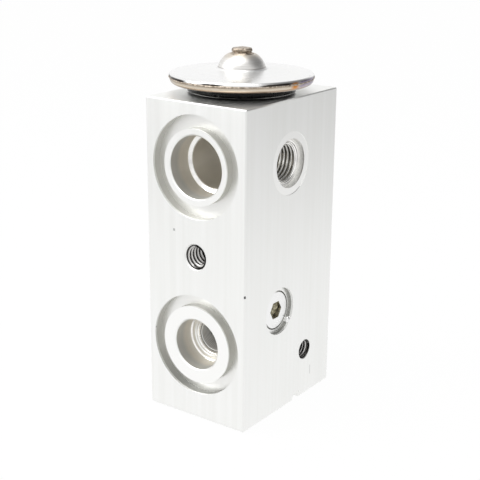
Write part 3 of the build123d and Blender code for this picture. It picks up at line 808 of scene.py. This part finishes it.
# %% Tapped holes
X, Y, Z = (1, 0, 0), (0, 1, 0), (0, 0, 1)
FROM_FRONT = (Z, X, Y)
FROM_BACK = (X, Z, (0, -1, 0))
FROM_SIDE = (Z, Y, (-1, 0, 0))
CLAMP_CREST_R, CLAMP_PITCH, CLAMP_LENGTH, CLAMP_CHAMFER = 2.5, 1.2, 10.5, 0.35
BRACKET_CREST_R, BRACKET_PITCH, BRACKET_LENGTH, BRACKET_CHAMFER = 2.1, 0.8, 7.0, 0.3
SENSOR_CREST_R, SENSOR_PITCH, SENSOR_LENGTH, SENSOR_CHAMFER = 4.45, 1.05, 8.0, 0.5
SENSOR_SEAT_X = SIDE_X - SENSOR_SEAT_DEPTH
for side, y_face, z_hole, axes in (("front", FRONT_Y, FRONT_CLAMP_Z, FROM_FRONT),
                                   ("back", BACK_Y, BACK_CLAMP_Z, FROM_BACK)):
    clamp_metal = thread_finish(side + "_clamp_metal", "xz", (0.0, z_hole), CLAMP_ROOT_R,
                                CLAMP_CREST_R, PAINTED_ROOT_SHADE)
    thread_ridge(side + "_clamp_thread", (0, y_face, z_hole), axes, CLAMP_ROOT_R, CLAMP_CREST_R,
                 CLAMP_PITCH, CLAMP_LENGTH, CLAMP_CHAMFER, clamp_metal)
bracket_metal = thread_finish("bracket_metal", "yz", (BRACKET_Y, BRACKET_Z), BRACKET_ROOT_R,
                              BRACKET_CREST_R, PAINTED_ROOT_SHADE)
thread_ridge("bracket_thread", (SIDE_X, BRACKET_Y, BRACKET_Z), FROM_SIDE, BRACKET_ROOT_R,
             BRACKET_CREST_R, BRACKET_PITCH, BRACKET_LENGTH, BRACKET_CHAMFER, bracket_metal)
sensor_metal = thread_finish("sensor_metal", "yz", (SENSOR_Y, SENSOR_Z), SENSOR_ROOT_R,
                             SENSOR_CREST_R, PALE_PAINTED_ROOT_SHADE)
thread_ridge("sensor_thread", (SENSOR_SEAT_X, SENSOR_Y, SENSOR_Z), FROM_SIDE, SENSOR_ROOT_R,
             SENSOR_CREST_R, SENSOR_PITCH, SENSOR_LENGTH, SENSOR_CHAMFER, sensor_metal)

# %% [markdown]
# ## Turned lips inside the ports
#
# A boring tool doesn't leave a bare square step. Its nose leaves a small cone in the corner, and
# the edge of the next hole is broken by a lip. These narrow faces are turned last and shine, and
# they lean towards the mouth, so each shows as one bright ring in a grey hole. Each is a closed
# outline of radius and depth, spun round the axis of its hole.

# %% Lips
LIP_STEPS = 144
SUCTION_CONE = (0.88, 0.42)
SMALL_CONE = (0.35, 0.3)


def turned_ring(name, mouth, frame_axes, outline):
    """Every point of the outline goes round a circle in the plane of the first two axes."""
    first, second, inward = (np.array(axis, dtype=float) for axis in frame_axes)
    radius, depth = np.array(outline).T
    turn = np.linspace(0, 2 * np.pi, LIP_STEPS, endpoint=False)[:, None]
    ray = np.cos(turn) * first + np.sin(turn) * second
    points = np.array(mouth) + radius[:, None] * ray[:, None] + depth[:, None] * inward
    return add_tube(name, points, "valve_block", TURNED, looped=True)


def corner_lip(radius, depth, width, height):
    """A cone in the corner between a bore's wall and its flat end."""
    return [(radius + SINK, depth - height), (radius - width, depth), (radius - width, depth + SINK),
            (radius + SINK, depth + SINK)]


PASSAGE_LIP = [(5.05, 6.73), (4.8, 6.62), (4.5, 6.75), (4.25, 7.05), (4.1, 7.45), (4.1, 7.65),
               (4.4, 7.4)]
THREAD_LIP = [(5.5, 0.04), (5.48, -0.06), (4.95, 0.05), (4.75, 0.22), (4.72, 0.4), (4.5, 0.5),
              (4.48, 0.75), (5.04, 0.95)]
turned_ring("front_suction_lip", (0, FRONT_Y, SUCTION_Z), FROM_FRONT,
            corner_lip(SPIGOT_R, SPIGOT_DEPTH, *SUCTION_CONE))
turned_ring("back_suction_lip", (0, BACK_Y, SUCTION_Z), FROM_BACK,
            corner_lip(SPIGOT_R, SPIGOT_DEPTH, *SUCTION_CONE))
for port, place, axes in (("liquid", (0, FRONT_Y, LIQUID_Z), FROM_FRONT),
                          ("feed", (0, BACK_Y, FEED_Z), FROM_BACK)):
    turned_ring(port + "_corner_lip", place, axes,
                corner_lip(SMALL_SPIGOT_R, SMALL_SPIGOT_DEPTH, *SMALL_CONE))
    turned_ring(port + "_passage_lip", place, axes, PASSAGE_LIP)
turned_ring("sensor_lip", (SENSOR_SEAT_X, SENSOR_Y, SENSOR_Z), FROM_SIDE, THREAD_LIP)

# %% [markdown]
# ## The weld round the head's rim
#
# The covers meet edge to edge and are melted together, so the seam is a thin bead with a
# ripple for each pulse of the welder. It is a ring of small circles round the rim. Their
# radius and height wander a little, and each is pushed out by the ripple.

# %% Weld bead
BEAD_R = 0.17
RIPPLES = 210


def weld_bead():
    """Ring round the head: every section is a circle whose size and place follow the angle."""
    turn = np.linspace(0, 2 * np.pi, 1260, endpoint=False)
    section = np.linspace(0, 2 * np.pi, 10, endpoint=False)
    size = BEAD_R * (1 + 0.22 * waves(turn, (5, 13, 29, 61), 1.0))
    size = size + 0.025 * np.sin(RIPPLES * turn)
    middle = RIM_R + 0.02 + 0.03 * waves(turn, (7, 17, 41), 2.0)
    height = WELD_Z + 0.02 + 0.04 * waves(turn, (3, 11, 23), 3.0)
    out = middle[:, None] + size[:, None] * np.cos(section)
    up = height[:, None] + size[:, None] * np.sin(section)
    points = np.stack([out * np.cos(turn)[:, None], AXIS_Y + out * np.sin(turn)[:, None], up], -1)
    add_tube("weld_bead", points, "valve_block", BURNT, looped=True)


weld_bead()

# %% [markdown]
# ## The filling plug
#
# Gas goes into the head through a hole on the dome, and a plug is then melted into it. The
# real plug is a rough brown disc on a ring of weld. The solid model's plug is a clean turned
# shape, so a rough one replaces it: the same outline spun round, with every ring pushed in and
# out by waves of whole order, so that the seam closes.

# %% Filling plug
CHARGE_OUTLINE = [
    (0.0, 88.05), (0.97, 88.05), (0.97, 89.2), (3.02, 89.2), (2.95, 89.32), (2.6, 89.5),
    (2.3, 89.7), (2.2, 89.86), (2.36, 89.9), (2.45, 90.0), (2.47, 90.25), (2.44, 90.45),
    (2.30, 90.62), (1.9, 90.69), (1.2, 90.70), (0.6, 90.67), (0.0, 90.66)]
ROUGH_FROM_Z, ROUGH_RAMP = 89.3, 0.4


def filling_plug():
    """Spun outline. It is rough only above the dome, so the stem in its hole stays true."""
    outline = np.array(CHARGE_OUTLINE)
    turn = np.linspace(0, 2 * np.pi, 96, endpoint=False)
    radius, height = outline[:, :1], outline[:, 1:]
    rough = waves(turn, (3, 7, 11, 19, 31), 4.0) + 0.7 * np.sin(9 * turn + 5 * height)
    share = np.clip((height - ROUGH_FROM_Z) / ROUGH_RAMP, 0, 1)
    radius = radius * (1 + 0.018 * share * rough)
    height = height + 0.03 * share * waves(turn, (2, 5, 9, 14), 6.0) * (radius > 0.1)
    points = np.stack([radius * np.cos(turn), AXIS_Y + radius * np.sin(turn), height], -1)
    plug = add_tube("filling_plug", points, "valve_block", BURNT)
    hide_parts("charge_plug")


filling_plug()

# %% [markdown]
# ## The soft ring under the head
#
# The head squeezes a rubber ring against the block. Squeezed rubber bulges below and is pinched
# into a lip above. The lip's thin curved highlight is a painted highlight: a grey line painted
# along it on two arcs. The solid model's plain ring gives way to a spun outline that has both
# the bulge and the lip.

# %% Neck seal
SEAL_OUTLINE = [
    (11.2, 80.0), (11.6, 80.0), (12.05, 80.2), (12.7, 80.4), (13.04, 80.5), (13.12, 80.62),
    (13.06, 80.72), (12.75, 80.85), (12.5, 81.15), (12.45, 81.6), (12.45, 82.35), (11.2, 82.35)]
BULGE_FROM_R = 12.0
LIP_Z = (80.56, 80.64, 80.74)
HIGHLIGHT_ARCS = [(-126, -84), (-32, 16)]
SEAL_BLACK = color(0.004, 0.004, 0.004)
PAINTED_HIGHLIGHT_GREY = color(0.50, 0.50, 0.48)


def seal_finish():
    """Black, with a painted highlight: a grey line at the widest place, on two arcs."""
    f = Finish("neck_rubber", Specular_IOR_Level=0.15)
    x, y, z = f.place()
    angle = (y - AXIS_Y).math("ARCTAN2", x) * TO_DEGREES
    patches = f.noise(f.vector(x, y, z), 0.8, 3.0)
    # The grey line on two arcs is a painted highlight.
    highlight_share = 0.15 + arc(angle, *HIGHLIGHT_ARCS[0], soft=10.0) + arc(angle, *HIGHLIGHT_ARCS[1], soft=10.0)
    line = z.ramp_between(LIP_Z[0], LIP_Z[1]) * (1 - z.ramp_between(LIP_Z[1], LIP_Z[2]))
    f.feed(Base_Color=f.blend(line * highlight_share * (0.6 + 0.6 * patches), SEAL_BLACK, PAINTED_HIGHLIGHT_GREY),
           Roughness=0.22 + 0.12 * patches)
    return f.material


def neck_seal():
    """Spun outline, with the bulge wandering a little round the neck."""
    outline = np.array(SEAL_OUTLINE)
    turn = np.linspace(0, 2 * np.pi, 192, endpoint=False)
    radius, height = outline[:, :1], outline[:, 1:]
    radius = radius + 0.03 * waves(turn, (2, 5, 9), 1.3) * (radius > BULGE_FROM_R)
    height = height + 0 * turn
    points = np.stack([radius * np.cos(turn), AXIS_Y + radius * np.sin(turn), height], -1)
    ring = add_tube("neck_seal", points, "valve_block", seal_finish(), looped=True)
    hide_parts("head_seal")


neck_seal()

# %% [markdown]
# ## Paste in the plug's socket, and a stake beside it
#
# The plug's thread is sealed with a paste that has run into the six-sided key socket and
# dried. A punch has then driven a little of the block's metal over the plug's edge, so that it
# can't unscrew. Both are small closed lumps: rings that shrink to a point at both ends.

# %% Paste and stake
KEY_HALF = 2.05
PASTE_DEPTH, PASTE_BOTTOM = 0.75, 2.55
STAKE_ANGLE = math.radians(-40)
STAKE_DEEP, STAKE_INWARDS, STAKE_SIDEWAYS, STAKE_SINK = 0.75, 0.85, 1.0, 0.72


def socket_paste():
    """Lump with a six-sided outline: rings go out to the socket's wall, then down and back."""
    turn = np.linspace(0, 2 * np.pi, 96, endpoint=False)
    sector = np.pi / 3
    wall = KEY_HALF / np.cos((turn % sector) - sector / 2)
    share = np.array([0.0, 0.2, 0.4, 0.6, 0.8, 0.95, 1.0, 0.0])[:, None]
    sink = PASTE_DEPTH + 0.22 * waves(turn, (1, 3, 5, 8), 2.5) * share + 0.35 * share**2
    sink[-1] = PASTE_BOTTOM
    face = SIDE_X - PLUG_SINK
    points = np.stack([face - sink, PLUG_Y + share * wall * np.sin(turn),
                       PLUG_Z + share * wall * np.cos(turn)], -1)
    add_tube("socket_paste", points, "valve_block", PASTE)


def plug_stake():
    """Egg-shaped lump, half sunk in the wall of the plug's mouth."""
    turn = np.linspace(0, 2 * np.pi, 32, endpoint=False)
    rise = np.linspace(-np.pi / 2, np.pi / 2, 17)[:, None]
    outwards = STAKE_DEEP * np.sin(rise) + 0 * turn
    reach = PLUG_MOUTH_R - STAKE_INWARDS * np.cos(rise) * np.cos(turn)
    aside = STAKE_SIDEWAYS * np.cos(rise) * np.sin(turn)
    y = PLUG_Y + reach * math.cos(STAKE_ANGLE) - aside * math.sin(STAKE_ANGLE)
    z = PLUG_Z + reach * math.sin(STAKE_ANGLE) + aside * math.cos(STAKE_ANGLE)
    points = np.stack([SIDE_X - STAKE_SINK + outwards, y, z], -1)
    add_tube("plug_stake", points, "valve_block", BRIGHT_PLUG)


socket_paste()
plug_stake()

# %% [markdown]
# ## The superheat spring
#
# The spring under the ball is round wire, coiled and then ground flat at both ends. The solid
# model draws its wire with few sides, so a round one replaces it: small circles carried along
# the helix, with the height of every point cut off at the ends, which is what grinding does.
# Both its ends move: the ball pushes the top down as the valve opens, and the screw pushes the
# foot up. It is cut across into two parts that meet at one height, and both are baked in place.

# %% Superheat spring
WIRE_R, WIRE_SIDES = 0.65, 20
COILS, STEPS_A_COIL = 5.0, 64
LOWER_SHARE = 0.62


def superheat_spring():
    """Helix tube: the middle line climbs evenly, and heights are clipped to the two ends."""
    low, high = (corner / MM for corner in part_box("superheat_spring"))
    coil_r = (high.x - low.x) / 2 - WIRE_R
    length = high.z - low.z
    pitch = (length - 2 * WIRE_R) / (COILS - 1)
    turns = (length + 2 * WIRE_R) / pitch
    turn = np.linspace(0, turns * 2 * np.pi, int(turns * STEPS_A_COIL))[:, None]
    section = np.linspace(0, 2 * np.pi, WIRE_SIDES, endpoint=False)
    out = coil_r + WIRE_R * np.cos(section)
    height = low.z - WIRE_R + turn / (2 * np.pi) * pitch + WIRE_R * np.sin(section)
    height = np.clip(height, low.z, high.z)
    points = np.stack([out * np.cos(turn), AXIS_Y + out * np.sin(turn), height], -1)
    cut = int(len(points) * LOWER_SHARE)
    levels = (low.z, float(height[cut].mean()), high.z)
    foot, still, top = (Vector((0, AXIS_Y, level)) * MM for level in levels)
    for name, part, body, end in (("coil_lower", points[:cut + 1], "spring_and_seal", foot),
                                  ("coil_upper", points[cut:], "valve_stack", top)):
        coil = add_tube(name, part, None, STEEL)
        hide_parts("superheat_spring")
        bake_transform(coil)


superheat_spring()

# %% [markdown]
# ## The room round the valve
#
# Small parts are often shown on a white sweep in a white room. The world is white for the
# camera and for mirror-like reflections, and dimmer as a light source, so metal shows a white
# room and still has soft shading. One side of the room has a grey flag: without a darker thing
# to reflect, polished steel on white would have no shape.

# %% World
WHITE = color(1, 1, 1)
WORLD_FILL = 0.80
FLAG_TO = (0.52, 0.63, 0.58)
FLAG_COS = (0.58, 0.94)
FLAG_TONE = 0.25


def make_world():
    """White for camera rays; for mirror rays white but for a soft grey flag; else a dim fill."""
    world = bpy.data.worlds.new("studio_world")
    world.use_nodes = True
    world.node_tree.nodes.clear()
    room = Graph(world.node_tree)
    way = room.node("ShaderNodeTexCoord", output="Generated")
    towards_flag = room.node("ShaderNodeVectorMath", {"operation": "DOT_PRODUCT"},
                             [way, Vector(FLAG_TO).normalized()], "Value")
    mirror_tone = room.node("ShaderNodeMapRange", {"interpolation_type": "SMOOTHSTEP"},
                            [towards_flag, *FLAG_COS, 1.0, FLAG_TONE])
    fill, mirror, white = (
        room.node("ShaderNodeBackground", {}, {"Color": WHITE, "Strength": strength})
        for strength in (WORLD_FILL, mirror_tone, 1.0))
    lit = room.node("ShaderNodeMixShader", {}, [room.rays("Is Glossy Ray"), fill, mirror])
    shown = room.rays("Is Camera Ray").math("MAXIMUM", room.rays("Is Transmission Ray"))
    seen = room.node("ShaderNodeMixShader", {}, [shown, lit, white])
    out = room.tree.nodes.new("ShaderNodeOutputWorld")
    room.tree.links.new(seen.socket, out.inputs["Surface"])
    bpy.context.scene.world = world


make_world()
print("world fill", WORLD_FILL)

# %% [markdown]
# ## The white sweep
#
# The floor glows for the camera, which keeps it white, and the rest of its brightness is real,
# which keeps the shadow. For mirror rays it glows fully, a painted pool of light round the object,
# its glow made a little weaker further off.

# %% Floor
FLOOR_HALF = 2.0
FLOOR_TONE = color(0.9, 0.9, 0.9)
CAMERA_GLOW = 0.97
PAINTED_POOL_NEAR, PAINTED_POOL_FAR, PAINTED_POOL_EDGE_TONE = 0.14, 0.40, 0.72


def floor_finish():
    """Matt white mixed with a glow, by the kind of ray that meets it."""
    f = Finish("white_sweep", Roughness=0.9, Base_Color=FLOOR_TONE, Specular_IOR_Level=0.0)
    mirror_ray = f.rays("Is Glossy Ray")
    seen_ray = f.rays("Is Camera Ray").math("MAXIMUM", f.rays("Is Transmission Ray"))
    x, y, _ = f.place()
    away = radius_from(x, y, 0.0, 0.0) * MM
    # The glow seen in reflections is a painted pool of light, weaker further from the object.
    painted_pool = 1 - away.ramp_between(PAINTED_POOL_NEAR, PAINTED_POOL_FAR) * mirror_ray * (1 - PAINTED_POOL_EDGE_TONE)
    glow = f.node("ShaderNodeEmission", {}, {"Color": WHITE, "Strength": painted_pool})
    matt = Signal(f, f.shader.outputs[0])
    mixed = f.node("ShaderNodeMixShader", {}, [seen_ray * CAMERA_GLOW + mirror_ray, matt, glow])
    f.tree.links.new(mixed.socket, f.tree.nodes["Material Output"].inputs["Surface"])
    return f.material


def make_floor():
    """One square at the object's foot."""
    mesh = bpy.data.meshes.new("floor")
    h = FLOOR_HALF
    mesh.from_pydata([(-h, -h, 0), (h, -h, 0), (h, h, 0), (-h, h, 0)], [], [(0, 1, 2, 3)])
    mesh.materials.append(floor_finish())
    floor = bpy.data.objects.new("floor", mesh)
    bpy.context.scene.collection.objects.link(floor)


make_floor()
print("floor", 2 * FLOOR_HALF, "m wide")

# %% [markdown]
# ## Two soft lamps
#
# The room gives most of the light. A wide lamp at the left front lifts the face with the large
# ports above the other one, and a weak one from above lifts the head. Both are square and
# large for a small object, so that no shadow has a hard edge.

# %% Lamps
KEY_PLACE, KEY_SIZE, KEY_WATTS = (-0.42, -0.46, 0.36), 0.45, 1.9
KEY_AIM = (0, 0, 0.02)
TOP_PLACE, TOP_SIZE, TOP_WATTS = (-0.04, -0.10, 0.40), 0.34, 0.6
TOP_AIM = (0, 0, 0)


def make_lamp(name, place, aim, size, watts):
    """Square soft lamp at a place, turned to face a point, all in metres."""
    data = bpy.data.lights.new(name, "AREA")
    data.shape = "SQUARE"
    data.size = size
    data.energy = watts
    lamp = bpy.data.objects.new(name, data)
    bpy.context.scene.collection.objects.link(lamp)
    lamp.location = place
    lamp.rotation_euler = (Vector(aim) - Vector(place)).to_track_quat("-Z", "Y").to_euler()


make_lamp("key_left", KEY_PLACE, KEY_AIM, KEY_SIZE, KEY_WATTS)
make_lamp("top_soft", TOP_PLACE, TOP_AIM, TOP_SIZE, TOP_WATTS)
bpy.context.scene.view_settings.view_transform = "Standard"
print("lamps of", KEY_WATTS, "W and", TOP_WATTS, "W")
